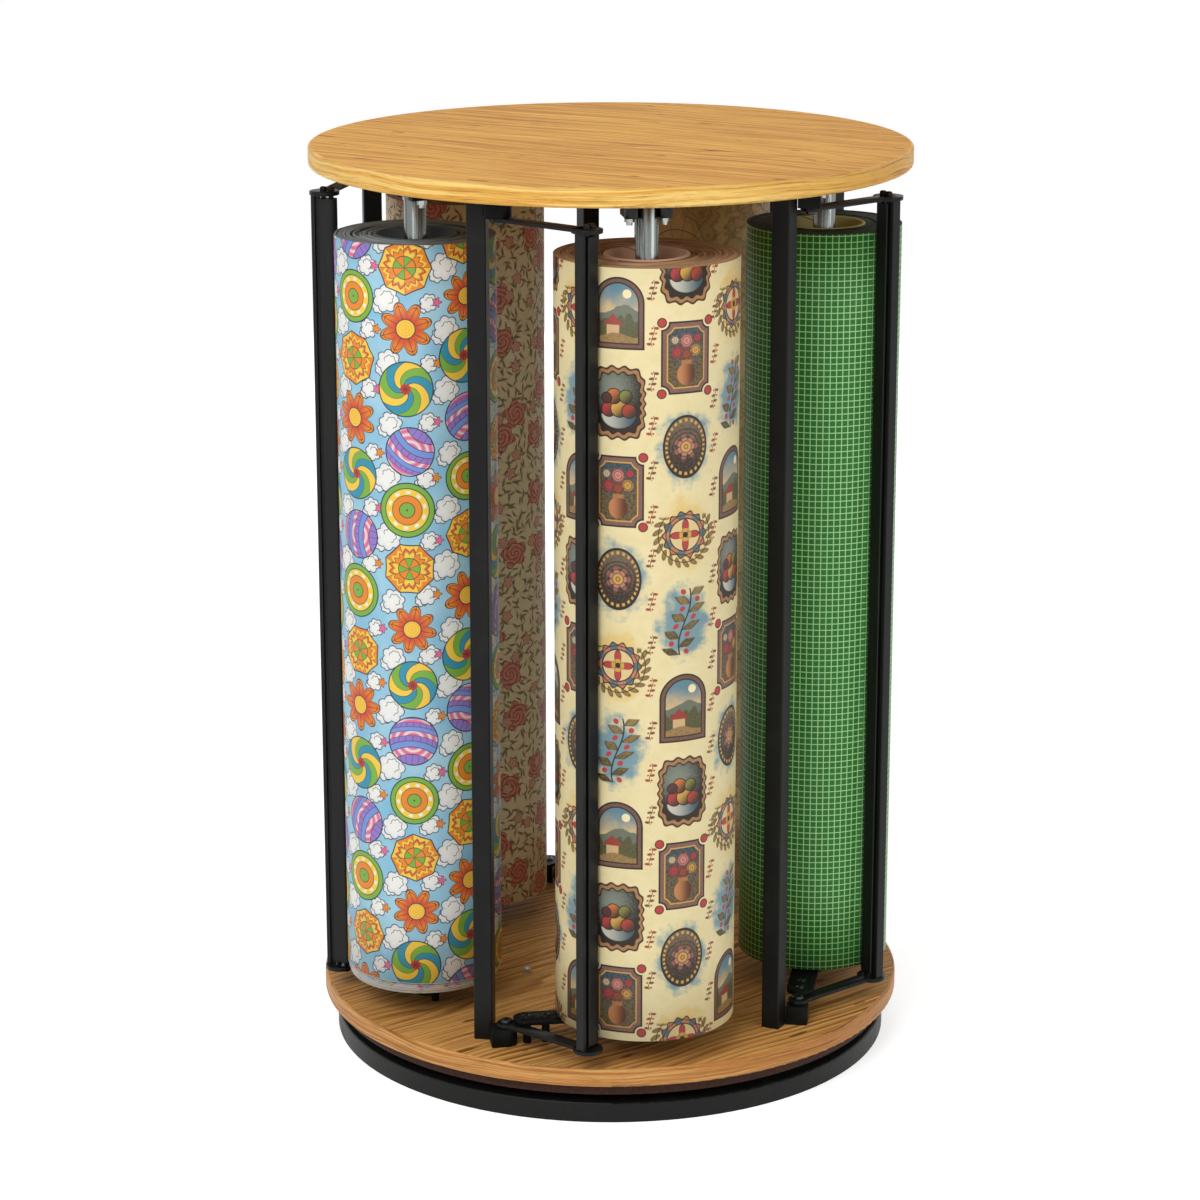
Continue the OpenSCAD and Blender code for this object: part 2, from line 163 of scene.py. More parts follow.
zinc, at = finish("zinc_plate")
crystals = at.node("TexVoronoi", None, {"Vector": at, "Scale": 420}, "Color").parts()[0]
handling = at.noise(60, 5, 0.65)
coat(zinc, {"Base Color": handling.over(tone(176, 178, 176), tone(206, 206, 200)), "Metallic": 1.0,
            "Roughness": 0.2 + 0.2 * handling + 0.06 * crystals})
dress(zinc, "bearing_lower_plate", "bearing_upper_plate", "bearing_base_screws", "swivel_bolts", "yoke_bolts")
ball_steel, at = finish("ball_steel")
smears = at.noise(300, 3)
coat(ball_steel, {"Base Color": smears.over(tone(196, 198, 202), tone(170, 172, 176)), "Metallic": 1.0,
                  "Roughness": 0.08 + 0.14 * smears})
dress(ball_steel, "bearing_balls")

# Swivel plate: a particle board disc, stained dark reddish brown, between the bearing and the bottom board.
# It is hidden but for the strip of its sawn edge under the bottom board.

brown_stain, at = finish("brown_stain")
chips = at.noise(220, 5, 0.7)
coat(brown_stain, {"Base Color": chips.rise(0.3, 0.7).over(tone(38, 20, 13), tone(70, 40, 26)),
                   "Specular IOR Level": 0.2, "Roughness": 0.5 + 0.25 * chips}, chips, depth=0.0006)
dress(brown_stain, "swivel_plate")

# Boards: round particle boards faced with honey oak laminate, the grain running across in long arches.
# The posts are screwed between them, and the bottom one also carries the brackets.


def oak_face(name, turn, heart, light, dark, vein, figure, fine):
    """Laminate face: growth rings cut at a slant, so their lines are arches r = sqrt(b^2 + (heart + slope a)^2)
    along the grain a and across it b. Broad and fine fibres, pores, long veins and flecks lie over them. figure
    says how strongly the arches show, and fine how closely the broad fibres lie."""
    made, at = finish(name)
    along, across, _ = at.node("Mapping", {"vector_type": "POINT"},
                               {"Vector": at, "Rotation": (0, 0, math.radians(turn))}).parts()
    flat = at.spot(along, across)
    drift = flat.noise(2.6, 2) - 0.5
    bent = across + 0.06 * drift + 0.012 * (at.spot(along * 0.8, across * 5).noise(3.0, 3) - 0.5)
    slope, rings_a_metre = 0.13, 104
    slant = heart + slope * along
    ring = (bent * bent + slant * slant).math("SQRT") * rings_a_metre
    ring = ring + 1.6 * at.spot(along * 0.5, bent * 12).noise(3.2, 4)
    late = ring.math("FRACT")
    line = late.rise(0.2, 0.9) * (1 - late.rise(0.9, 1.0))
    strong = at.spot(along * 0.9, bent * 20).noise(2.0, 3).rise(0.3, 0.7)
    broad = at.spot(along * 1.2, bent * fine).noise(3.0, 5, 0.62)
    fibre = at.spot(along * 5, bent * 170).noise(5.0, 4, 0.6)
    pores = at.spot(along * 20, bent * 520).noise(3.0, 2).rise(0.58, 0.68) * (0.3 + 0.7 * line)
    veins = at.spot(along * 1.4, bent * 36).noise(2.0, 4, 0.6).rise(0.6, 0.68)
    fleck = at.spot(along * 6, bent * 24).noise(2.0, 3).rise(0.66, 0.69)
    cloud = flat.noise(4.5, 3)
    shade = 0.5 + 3.0 * (broad - 0.5) + 1.2 * (fibre - 0.5) + 1.1 * (cloud - 0.5) + figure * (line * strong - 0.2)
    colour = shade.over(light, dark)
    colour = (0.4 * pores).over(colour, vein)
    colour = (0.6 * veins).over(colour, vein)
    colour = (0.8 * fleck).over(colour, vein)
    return coat(made, {"Base Color": colour, "Roughness": 0.46 + 0.12 * fibre + 0.1 * pores,
                       "Specular IOR Level": 0.1}, 0.5 * fibre - pores - veins, depth=0.00012)


dress(oak_face("oak_top", turn=30, heart=0.03, light=tone(244, 186, 82), dark=tone(192, 122, 34),
               vein=tone(134, 68, 20), figure=0.3, fine=46), "top_board")
# Same laminate as the top, its tones painted darker as shade from the top board and the rolls above it.
dress(oak_face("oak_bottom_painted_shade", turn=-38, heart=0.05, light=tone(224, 168, 96), dark=tone(150, 96, 40),
               vein=tone(84, 50, 20), figure=0.9, fine=88), "bottom_board")

# Edge bands: 3 mm strips of solid oak, glued round the boards and rounded over with a cutter.
# Their grain runs round the edge and wanders over its height, lighter and yellower than the laminate.


def oak_edge(name, light, middle, dark):
    """Edge grain: noise stretched along the arc round the rim. The strip is cut a little across the fibres, so the
    streaks wander over its height, and from a little right of the front round to the back it turns browner."""
    made, at = finish(name)
    rim_radius = 0.305
    x, y, height = at.parts()
    arc = x.math("ARCTAN2", 0 - y) * rim_radius
    sway = at.spot(arc * 1.3, 0.0).noise(2.4, 2) - 0.5
    ripple = at.spot(arc * 9, height * 30).noise(2.0, 2) - 0.5
    bent = height + 0.04 * sway + 0.002 * ripple
    bands = at.spot(arc * 1.2, bent * 90).noise(3.0, 5, 0.65)
    streak = at.spot(arc * 3.2, bent * 170).noise(3.0, 4, 0.65).rise(0.52, 0.66)
    fibre = at.spot(arc * 4, bent * 420).noise(4.0, 4, 0.65)
    pores = at.spot(arc * 16, bent * 700).noise(3.0, 2).rise(0.58, 0.7)
    brown = arc.rise(0.06, 0.3)
    colour = bands.rise(0.4, 0.6).over(light, middle)
    colour = (0.65 * brown).over(colour, middle)
    colour = ((0.6 + 0.3 * brown) * streak).over(colour, dark)
    colour = (0.4 * fibre.rise(0.45, 0.75)).over(colour, middle)
    colour = (0.4 * pores).over(colour, dark)
    return coat(made, {"Base Color": colour, "Roughness": 0.4 + 0.16 * fibre, "Specular IOR Level": 0.2},
                fibre - pores, depth=0.00015)


dress(oak_edge("oak_edge_top", light=tone(246, 210, 124), middle=tone(222, 164, 72), dark=tone(150, 90, 20)),
      "top_edge_band")
dress(oak_edge("oak_edge_bottom", light=tone(220, 166, 98), middle=tone(182, 120, 60), dark=tone(110, 64, 24)),
      "bottom_edge_band")

# Posts: five square steel tubes with rounded corners, cut to length and powder coated satin black.
# They stand between the boards, beside the cutters, and long screws through the boards hold them.


def powder_coat(name, matt, shine):
    """Black powder, as rough as matt and as reflective as shine: fine orange peel, with dusty patches and rubbed
    spots that are smoother."""
    made, at = finish(name)
    peel = at.noise(700, 2)
    dust = at.noise(22, 5, 0.6).rise(0.45, 0.8)
    rubbed = at.noise(9, 4, 0.65).rise(0.55, 0.75)
    colour = dust.over(tone(15, 16, 15), tone(27, 28, 26))
    return coat(made, {"Base Color": colour, "Roughness": matt + 0.1 * dust - 0.08 * rubbed,
                       "Specular IOR Level": shine}, peel, depth=0.00006)


satin_black = powder_coat("satin_black", matt=0.4, shine=0.17)
dress(satin_black, *(f"post_{k}" for k in range(1, 6)))

# Rods: 22 mm bright drawn steel, one in the middle of each roll, standing in its bracket and its yoke.
# The yokes are slotted black steel blocks, hung under the top board on plated bolts.


def eased(node, body, material, width):
    """A copy of a CAD node with its doubled points merged and its flat faces made whole. A Bevel modifier
    rounds the corners that are sharper than 35 degrees by width, and the rest is shaded as one curve."""
    work = bmesh.new()
    work.from_mesh(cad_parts[node].data)
    bmesh.ops.remove_doubles(work, verts=work.verts, dist=1e-6)
    bmesh.ops.dissolve_limit(work, angle_limit=math.radians(0.5), verts=work.verts, edges=work.edges)
    mesh = bpy.data.meshes.new(f"eased_{node}")
    work.to_mesh(mesh)
    work.free()
    mesh.materials.clear()
    mesh.materials.append(material)
    mesh.polygons.foreach_set("material_index", np.zeros(len(mesh.polygons), np.int32))
    mesh.polygons.foreach_set("use_smooth", np.ones(len(mesh.polygons), bool))
    piece = bpy.data.objects.new(f"eased_{node}", mesh)
    bpy.context.scene.collection.objects.link(piece)
    bevel = piece.modifiers.new("eased corners", "BEVEL")
    bevel.limit_method, bevel.angle_limit = "ANGLE", math.radians(35)
    bevel.width, bevel.segments, bevel.harden_normals = width, 2, True
    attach(piece, body)
    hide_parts(node)


bright_steel, at = finish("bright_steel")
x, y, height = at.parts()
drawn = at.spot(x * 12, y * 12, height * 0.5).noise(40, 4, 0.6)
stain = at.spot(x * 3, y * 3, height * 0.4).noise(14, 4)
coat(bright_steel, {"Base Color": stain.over(tone(136, 142, 140), tone(122, 126, 122)), "Metallic": 1.0,
                    "Roughness": 0.2 + 0.04 * drawn})
eased("rods", "carousel", bright_steel, width=0.0008)
gloss_black = powder_coat("gloss_black", matt=0.22, shine=0.3)
eased("rod_yokes", "carousel", gloss_black, width=0.0008)

# Brackets: steel plates that hold each rod's foot, on spacers over the bottom board, with domed screws.
# Pivot blocks and pins carry the swinging arms. All of it is matt black, but for shinier screws and pins.

bracket_black = powder_coat("bracket_black", matt=0.44, shine=0.08)
eased("lower_brackets", "carousel", bracket_black, width=0.0007)
eased("pivot_blocks", "carousel", bracket_black, width=0.001)
dress(bracket_black, "bracket_spacers")
dress(powder_coat("screw_black", matt=0.16, shine=0.6), "bracket_screws", "pivot_pins")

# Core bushes: moulded black plastic rings that run on the rod inside each core.
# The lower one has a wide flange that carries the roll's weight.

bush_plastic, at = finish("bush_plastic")
mould = at.noise(420, 3)
coat(bush_plastic, {"Base Color": mould.over(tone(20, 20, 20), tone(32, 32, 31)), "Specular IOR Level": 0.3,
                    "Roughness": 0.45 + 0.15 * mould}, mould, depth=0.00008)
dress(bush_plastic, *(f"core_bushes_{k}" for k in range(1, 6)))

# Cores: card tubes wound from glued strips of brown board and cut square, so a spiral seam shows.
# The paper is wound on them, and they slide over the bushes.


def round_piece(name, points, uv, smooth):
    """Quads over a grid of points, columns round the piece by rows along its closed profile. uv has one
    more column and row than points, and smooth says which rows of faces are shaded as a curve."""
    columns, rows = points.shape[:2]
    i, j = np.meshgrid(np.arange(columns), np.arange(rows), indexing="ij")
    i2, j2 = (i + 1) % columns, (j + 1) % rows
    faces = np.stack([i * rows + j, i2 * rows + j, i2 * rows + j2, i * rows + j2], -1).reshape(-1, 4)
    mesh = bpy.data.meshes.new(name)
    mesh.from_pydata(points.reshape(-1, 3).tolist(), [], faces.tolist())
    corners = np.stack([uv[i, j], uv[i + 1, j], uv[i + 1, j + 1], uv[i, j + 1]], 2)
    mesh.uv_layers.new(name="unrolled").data.foreach_set("uv", corners.astype(np.float32).ravel())
    mesh.polygons.foreach_set("use_smooth", np.broadcast_to(smooth, (columns, rows)).ravel())
    piece = bpy.data.objects.new(name, mesh)
    bpy.context.scene.collection.objects.link(piece)
    return piece


def turned(centre, angles, radius, height):
    """Points at the given angles, radii and heights about an upright axis, as a grid of columns by rows."""
    angles, radius, height = np.broadcast_arrays(angles, radius, height)
    return np.stack([centre[0] + radius * np.cos(angles), centre[1] + radius * np.sin(angles), height], -1)


def card_core(k, rim, inside):
    """A tube: the closed profile goes out along the foot, up the outer wall, in over the top and down the bore,
    with the four corners eased by 0.5 mm. Its spiral seam climbs 90 mm a turn."""
    low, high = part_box(f"roll_core_{k}")
    centre, outer = (low + high) / 2, (high.x - low.x) / 2
    bore, ease, seam_climb = 0.038, 0.0005, 0.09
    radius = np.array([bore + ease, outer - ease, outer, outer, outer - ease, bore + ease, bore, bore])
    height = np.array([low.z, low.z, low.z + ease, high.z - ease, high.z, high.z, high.z - ease, low.z + ease])
    columns = 96
    turn = np.linspace(0, 1, columns + 1)
    around = np.hypot(np.diff(radius, append=radius[0]), np.diff(height, append=low.z))
    run = np.concatenate([[0], np.cumsum(around)])
    uv = np.stack(np.broadcast_arrays(turn[:, None], run[None, :]), -1)
    points = turned(centre, 2 * math.pi * turn[:-1, None], radius, height)
    tube = round_piece(f"card_core_{k}", points, uv, np.array([0, 0, 1, 0, 0, 0, 1, 0], bool))
    made, at = finish(f"card_{k}", "UV")
    turns, up, _ = at.parts()
    climb = up / seam_climb + turns
    seam = abs(climb.math("FRACT") - 0.5).rise(0.485, 0.5)
    fibre = at.spot(turns * 60, up * 130).noise(3.0, 5, 0.7)
    colour = (fibre - 0.15).over(rim, inside)
    colour = (0.7 * seam).over(colour, tone(84, 62, 46))
    coat(made, {"Base Color": colour, "Roughness": 0.72 + 0.2 * fibre}, fibre - seam, depth=0.0003)
    tube.data.materials.append(made)
    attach(tube, f"roll_{k}")
    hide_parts(f"roll_core_{k}")


card_core(1, rim=tone(230, 188, 162), inside=tone(180, 134, 108))
card_core(2, rim=tone(206, 200, 140), inside=tone(176, 170, 112))
card_core(3, rim=tone(186, 152, 112), inside=tone(146, 112, 80))
card_core(4, rim=tone(176, 140, 108), inside=tone(130, 98, 72))
card_core(5, rim=tone(98, 110, 114), inside=tone(56, 68, 74))

# Paper rolls: 773 mm wide gift wrap wound tight on the cores, the free edge tucked under the cutter bar.
# The wound edges show at both ends as rings, some of them a little out of line.


def wound_roll(k, bundles, ragged, loose):
    """A winding: the wall's radius falls by one sheet's step round the turn and jumps back at the free edge,
    which lies under the cutter bar. Each end is a row of ring-shaped bundles of sheets with slits between
    them, every bundle's height a slow wave round the turn. Loose outer turns have slid up, so at the foot
    the wall is a stair, each turn ending a few millimetres above the one inside it."""
    dice = np.random.default_rng(40 + k)
    low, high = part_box(f"paper_roll_{k}")
    centre, outer = (low + high) / 2, (high.x - low.x) / 2
    inner, flange, step = 0.04215, 0.057, 0.0007
    slit, slit_depth, slack = 0.00035, 0.0022, 0.00012
    bar_low, bar_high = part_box(f"cutter_bar_{k}")
    bar = (bar_low + bar_high) / 2 - centre
    columns, lap, tucked = 128, 0.0005, 0.1
    free_edge = math.atan2(bar.y, bar.x) - tucked
    turn = np.append(np.linspace(0, 1 - lap, columns), 1)
    angle = (free_edge + 2 * math.pi * turn[:-1])[:, None]
    wall = outer - step * turn[:-1, None]

    def rings(count, deep, proud):
        """Rows of one end, from the rim inwards: shares of the radius, and heights sunk by up to deep or standing
        out by up to proud."""
        cuts = np.sort(dice.uniform(0.03, 1, count - 1))
        edges = np.concatenate([[0], cuts, [1]])
        gap = slit / (outer - inner)
        share = np.stack([edges[:-1] + gap * (edges[:-1] > 0), edges[1:] - gap, edges[1:] - gap, edges[1:]], 1)
        sunk = dice.uniform(-proud, deep, count)
        sunk[0] = 0
        wave = dice.uniform(0, 0.25 * deep, (2, count)) * np.array([[1], [0.5]])
        phase = dice.uniform(0, 2 * math.pi, (2, count))
        sink = sunk + wave[0] * np.sin(angle + phase[0]) + wave[1] * np.sin(2 * angle + phase[1])
        floor = sink + slit_depth
        return np.clip(share.ravel(), 0, 1), np.stack([sink, sink, floor, floor], 2).reshape(len(angle), -1)

    foot_wall = wall - step * loose
    slid = np.cumsum(dice.uniform(0.0012, 0.0036, loose))
    lift = slid * (0.75 + 0.25 * np.sin(angle + dice.uniform(0, 2 * math.pi, loose)))
    top_share, top_sink = rings(bundles, deep=0.0016 * ragged, proud=0.0)
    foot_share, foot_sink = rings(bundles // 2, deep=0.0009 * ragged, proud=0.0008)
    top_share, top_sink = top_share[:-2], top_sink[:, :-2]
    foot_share, foot_sink = foot_share[:-2], foot_sink[:, :-2]
    foot_radius = foot_wall - foot_share * (foot_wall - inner)
    foot_sink = np.where(foot_radius < flange, np.maximum(foot_sink, 0), foot_sink)
    stair_radius = foot_wall + step * np.repeat(np.arange(loose + 1), 2)[1:-1]
    climb = np.linspace(0, 1, 9)[None, 1:-1] * np.ones_like(angle)
    sway = slack * np.sin(3 * angle + 7 * climb) * np.sin(math.pi * climb)
    radius = np.hstack([foot_radius[:, ::-1], stair_radius, wall + sway - slack,
                        wall - top_share * (wall - inner)])
    height = np.hstack([(low.z + foot_sink)[:, ::-1], low.z + np.repeat(lift, 2, axis=1),
                        low.z + climb * (high.z - low.z), high.z - top_sink])
    run = np.concatenate([-foot_share[::-1] * (outer - inner), np.repeat(slid, 2), climb[0] * (high.z - low.z),
                          (high.z - low.z) + top_share * (outer - inner)])
    round_sheet = (2 * math.pi * outer * turn)[:, None]
    uv = np.stack(np.broadcast_arrays(round_sheet, np.append(run, run[-1])[None, :]), -1)
    row = np.arange(radius.shape[1])
    smooth = (row >= len(foot_share) - 1) & (row < len(foot_share) + 2 * loose + climb.shape[1])
    smooth[len(foot_share) + 2 * np.arange(loose)] = False
    roll = round_piece(f"wound_paper_{k}", turned(centre, angle, radius, height), uv, smooth)
    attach(roll, f"roll_{k}")
    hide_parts(f"paper_roll_{k}")
    return roll, 1000 * (high.z - low.z), 2000 * math.pi * outer, (1000 * slid).tolist()


def printed_roll(k, slot, colour_of, edge_light, edge_dark, matt, bundles, ragged, loose=0):
    """Coated paper: colour_of gives the print from the distances round and up the sheet in millimetres. The ends
    show the sheets' cut edges, as lines that follow the winding a layer's pitch apart."""
    layer_pitch = 0.6
    roll, tall, circuit, edges = wound_roll(k, bundles, ragged, loose)
    made, at = finish(slot, "UV")
    u, v, _ = at.parts()
    u, v = u * 1000, v * 1000
    inward = (v - tall).math("MAXIMUM", 0 - v)
    ends = inward.rise(0.02, 0.05)
    layer = (inward / layer_pitch + u / circuit).math("FRACT")
    thick = at.spot(inward * 0.9, u * 0.004).noise(1.0, 3, 0.7)
    wander = at.spot(inward * 0.25, u * 0.012).noise(1.0, 3)
    cut = 0.35 * abs(layer - 0.5) + 0.9 * thick.rise(0.3, 0.7) + 0.5 * wander - 0.35
    tooth = at.spot(u * 4, v * 4).noise(1.0, 3)
    colour = loose_turns(at, u, v, colour_of, edges) if edges else colour_of(at, u, v)
    colour = ends.over(colour, cut.over(edge_dark, edge_light))
    coat(made, {"Base Color": colour, "Roughness": matt + 0.06 * tooth + 0.35 * ends,
                "Specular IOR Level": 0.3}, tooth + 3 * ends * layer, depth=0.00008)
    roll.data.materials.append(made)


def loose_turns(at, u, v, colour_of, edges):
    """The print where outer turns end at these heights. Below each frayed edge the next turn's strip shows, in the
    edge's shadow, faded and out of register by a shift for every turn."""
    register, soft = 37, 0.05
    bared = sum(1 - v.rise(edge - soft, edge + soft) for edge in edges)
    colour = colour_of(at, u + register * bared, v)
    faded = at.spot(u * 0.1, v * 0.3).noise(1.0, 4, 0.7)
    colour = (bared * faded.rise(0.35, 0.6)).over(colour, tone(214, 214, 206))
    for edge in edges:
        below = edge - v
        shadow = (1 - below.rise(0.1, 1.3)) * below.rise(-soft, soft)
        colour = (0.75 * shadow).over(colour, tone(44, 44, 48))
        colour = (0.9 * ink(below + 0.35, 0.3)).over(colour, tone(236, 234, 226))
    return colour


def length(x, y):
    """Distance from the middle."""
    return (x * x + y * y).math("SQRT")


def fill(distance, soft=0.3):
    """1 inside a shape, where its signed distance is below 0."""
    return 1 - distance.rise(-soft, soft)


def ink(distance, half=0.45):
    """A line of this half width along a shape's outline."""
    return 1 - abs(distance).rise(half - 0.25, half + 0.25)


def cells(u, v, wide, tall):
    """Splits the sheet into cells, every other column half a cell higher. Gives each cell's two numbers, and
    the distances from its middle."""
    column = (u / wide).math("FLOOR")
    lifted = v + tall / 2 * column.math("FLOORED_MODULO", 2)
    row = (lifted / tall).math("FLOOR")
    return column, row, u - (column + 0.5) * wide, lifted - (row + 0.5) * tall


def one_of(number, choice):
    """1 where a whole number is this choice."""
    return number.math("COMPARE", choice, 0.25)


# Cream roll, front: an old-fashioned print of small pictures in frames and ovals, with garlands between them.
# Warm cream paper with brown edges.


def posy_print(at, u, v):
    """Cells of 66 by 86 mm hold six pictures in turn, each drawn from distances to circles, ovals, boxes and waves.
    Strips between the columns hold short garlands."""
    wide, tall, enlarged = 66, 86, 1.06
    column, row, x, y = cells(u, v, wide, tall)
    x, y = x / enlarged, y / enlarged
    kind = (2 * column + 5 * row).math("FLOORED_MODULO", 6)
    grain = at.spot(u, v).noise(0.42, 4, 0.65)
    blot = at.spot(u, v).noise(0.06, 4, 0.6)
    radius, angle = length(x, y), y.math("ARCTAN2", x)
    black, brown, sepia, plum = tone(46, 36, 30), tone(70, 50, 38), tone(118, 82, 54), tone(88, 56, 58)
    rose, rust, gold, cream = tone(178, 66, 66), tone(160, 78, 48), tone(206, 160, 80), tone(232, 217, 168)
    teal, slate = tone(96, 140, 156), tone(64, 88, 98)
    colour = (0.5 * blot.rise(0.4, 0.7)).over(cream, tone(224, 204, 148))

    # Garlands: a waving stem with leaves and berries, rust or brown
    _, row_g, gx, gy = cells(u - wide / 2, v, wide, tall / 2)
    stem = gx - 1.6 * (gy / 3.6).math("SINE")
    pace = (gy / 5).math("FRACT") * 5 - 2.5
    side = (gy / 5).math("FLOOR").math("FLOORED_MODULO", 2) * 2 - 1
    paint = row_g.math("FLOORED_MODULO", 2).over(rust, sepia)
    reach = fill(abs(gy) - 10)
    colour = (reach * fill(length((stem * side - 2.2) / 2.4, pace / 1.4) - 1, 0.2)).over(colour, paint)
    colour = (reach * fill(length(stem * side + 2, pace) - 1)).over(colour, rose)
    colour = (reach * ink(stem, 0.35)).over(colour, sepia)

    # Watery washes of blue and straw behind some pictures
    wash = (length(x / 27, y / 35) - 1 + 1.5 * (blot - 0.5)).rise(-0.4, 0.15)
    blue = one_of(kind, 1).math("MAXIMUM", one_of(kind, 3))
    colour = (blue * (0.9 - 0.9 * wash)).over(colour, teal)
    colour = (one_of(kind, 2) * (0.8 - 0.8 * wash)).over(colour, tone(224, 190, 110))

    # A posy in an urn, in a frame with hollow corners
    box = (abs(x) - 23).math("MAXIMUM", abs(y) - 32)
    moulding = box.math("MAXIMUM", 7 - length(abs(x) - 23, abs(y) - 32))
    framed = one_of(kind, 0)
    scene = (y / 46 + 0.35 + 0.9 * (blot - 0.5)).rise(0, 1).over(tone(112, 96, 66), slate)
    scene = (0.75 * grain.rise(0.4, 0.65)).over(scene, black)
    urn = length(x / 9, (y + 15) / 10) - 1
    scene = fill(urn, 0.05).over(scene, (x / 14 + 0.5).rise(0, 1).over(tone(190, 128, 82), tone(92, 52, 36)))
    scene = fill((abs(x) - 5).math("MAXIMUM", abs(y + 4) - 2)).over(scene, tone(170, 116, 70))
    for cx, cy, size, paint in ((-9, 5, 7, rose), (9, 6, 7, gold), (0, 15, 8, tone(214, 138, 124)), (0, 3, 6, rust),
                                (-11, 16, 5, tone(210, 190, 150)), (11, 17, 5, rose)):
        near = length(x - cx, y - cy)
        lobes = near - size * (0.85 + 0.15 * ((y - cy).math("ARCTAN2", x - cx) * 6).math("COSINE"))
        scene = fill(lobes).over(scene, (near / size + 0.5 * (grain - 0.5)).rise(0.2, 1.1).over(paint, plum))
        scene = (ink((near / 2.4).math("FRACT") - 0.5, 0.1) * fill(lobes)).over(scene, brown)
    panel = fill(moulding + 5).over((0.8 * grain).over(plum, tone(168, 128, 108)), scene)
    panel = ink(moulding + 5, 0.6).over(panel, gold)
    colour = (framed * fill(moulding)).over(colour, panel)
    colour = (framed * ink(moulding, 0.8)).over(colour, black)
    colour = (framed * fill(length(abs(x) - 23, abs(y) - 32) - 4)).over(colour, rose)
    colour = (framed * ink(length(abs(x) - 23, abs(y) - 32) - 4, 0.5)).over(colour, brown)

    # An oval medallion with a bloom and a beaded rim
    oval = (length(x / 21, y / 28) - 1) * 23
    medal = one_of(kind, 1)
    dark = (1.3 * grain - 0.2 + y / 90).rise(0.1, 0.9).over(black, tone(120, 104, 84))
    petals = radius - 14 * (0.72 + 0.28 * (angle * 7).math("COSINE"))
    dark = fill(petals).over(dark, (radius / 14).rise(0.2, 1).over(tone(206, 148, 120), tone(128, 74, 66)))
    dark = fill(radius - 4.5).over(dark, gold)
    dark = (fill(radius - 19) * ink((radius / 3.6).math("FRACT") - 0.5, 0.1)).over(dark, black)
    colour = (medal * fill(oval)).over(colour, dark)
    beads = (angle * 28).math("COSINE").rise(-0.2, 0.2)
    colour = (medal * ink(oval + 2.8, 1.2) * beads).over(colour, gold)
    colour = (medal * ink(oval, 0.9)).over(colour, black)

    # A round crest with a scalloped rim, in a wreath that is open at the top
    crest = one_of(kind, 2)
    pace = ((angle * (11 / math.pi)).math("FRACT") - 0.5) * 7.4
    out = radius - 26.5
    leaf = length((0.8 * out + 0.6 * pace) / 4.6, (0.8 * pace - 0.6 * out) / 1.9) - 1
    wreath = crest * fill(y - 17, 1.5)
    colour = (wreath * fill(leaf, 0.12)).over(colour, (grain * 1.4).over(tone(96, 78, 44), tone(162, 132, 78)))
    colour = (wreath * ink(leaf, 0.12)).over(colour, brown)
    colour = (wreath * ink(out + 1, 0.45)).over(colour, brown)
    rim = radius - 22 * (0.94 + 0.06 * (angle * 14).math("COSINE"))
    disc = (angle * 7).math("COSINE").rise(-0.1, 0.1).over(tone(196, 132, 104), tone(98, 116, 124))
    disc = (0.5 * grain.rise(0.4, 0.7)).over(disc, brown)
    disc = fill(radius - 15).over(disc, tone(222, 196, 140))
    leafy = radius - 14 * (0.6 + 0.4 * (angle * 4).math("COSINE"))
    disc = fill(leafy).over(disc, rose)
    disc = fill(radius - 6).over(disc, gold)
    disc = fill(radius - 2.6).over(disc, black)
    disc = (ink(radius - 15, 0.6) + ink(leafy, 0.5) + ink(radius - 18.5, 0.4)).over(disc, brown)
    colour = (crest * fill(rim)).over(colour, disc)
    colour = (crest * ink(rim, 0.7)).over(colour, brown)

    # A plume of leaves
    plume = one_of(kind, 3)
    stem = x - 6 * (y / 14).math("SINE")
    pace = (y / 8).math("FRACT") * 8 - 4
    side = (y / 8).math("FLOOR").math("FLOORED_MODULO", 2) * 2 - 1
    out = stem * side - 8
    leaf = length((0.8 * out + 0.6 * pace) / 8.5, (0.8 * pace - 0.6 * out) / 3.4) - 1
    reach = fill(abs(y) - 31)
    leaves = (grain * 1.5 - 0.2 + y / 120).rise(0, 1).over(tone(56, 48, 32), tone(150, 124, 74))
    colour = (plume * reach * fill(leaf, 0.08)).over(colour, leaves)
    colour = (plume * reach * ink(leaf, 0.1)).over(colour, black)
    colour = (plume * reach * ink(stem, 0.7)).over(colour, black)
    colour = (plume * reach * fill(length(stem * side + 7, pace) - 2.6)).over(colour, rose)

    # A cottage among hills, under an arch
    arch = (length(x, (y - 8).math("MAXIMUM", 0.0)) - 23).math("MAXIMUM", 0 - y - 32)
    view = one_of(kind, 4)
    land = (y / 34 + 0.3 + 0.7 * (blot - 0.5)).rise(0, 1).over(tone(226, 190, 124), tone(92, 130, 144))
    land = fill(length(x - 8, y - 17) - 4).over(land, tone(240, 224, 176))
    land = fill(y - 2 - 4 * (x / 8 + 1).math("SINE") - 8 * (blot - 0.5), 0.6).over(land, tone(106, 112, 96))
    trees = y + 9 - 3 * (x / 5).math("SINE") - 6 * abs((x / 3.3 + 3 * blot).math("SINE"))
    land = fill(trees, 0.6).over(land, (grain * 1.4).over(tone(40, 40, 28), tone(98, 96, 60)))
    land = fill((abs(x + 5) - 6).math("MAXIMUM", abs(y + 15) - 5)).over(land, tone(206, 170, 124))
    land = fill((abs(x + 5) + y + 1).math("MAXIMUM", 0 - y - 11)).over(land, tone(150, 62, 50))
    path = (grain * 1.5).over(tone(58, 44, 32), tone(168, 134, 84))
    land = fill(y + 20 - 2 * (x / 6 + 2).math("SINE"), 0.6).over(land, path)
    panel = fill(arch + 4.5).over((0.9 * grain).over(tone(64, 46, 44), tone(150, 110, 92)), land)
    panel = ink(arch + 4.5, 0.6).over(panel, black)
    colour = (view * fill(arch)).over(colour, panel)
    colour = (view * ink(arch, 0.8)).over(colour, black)

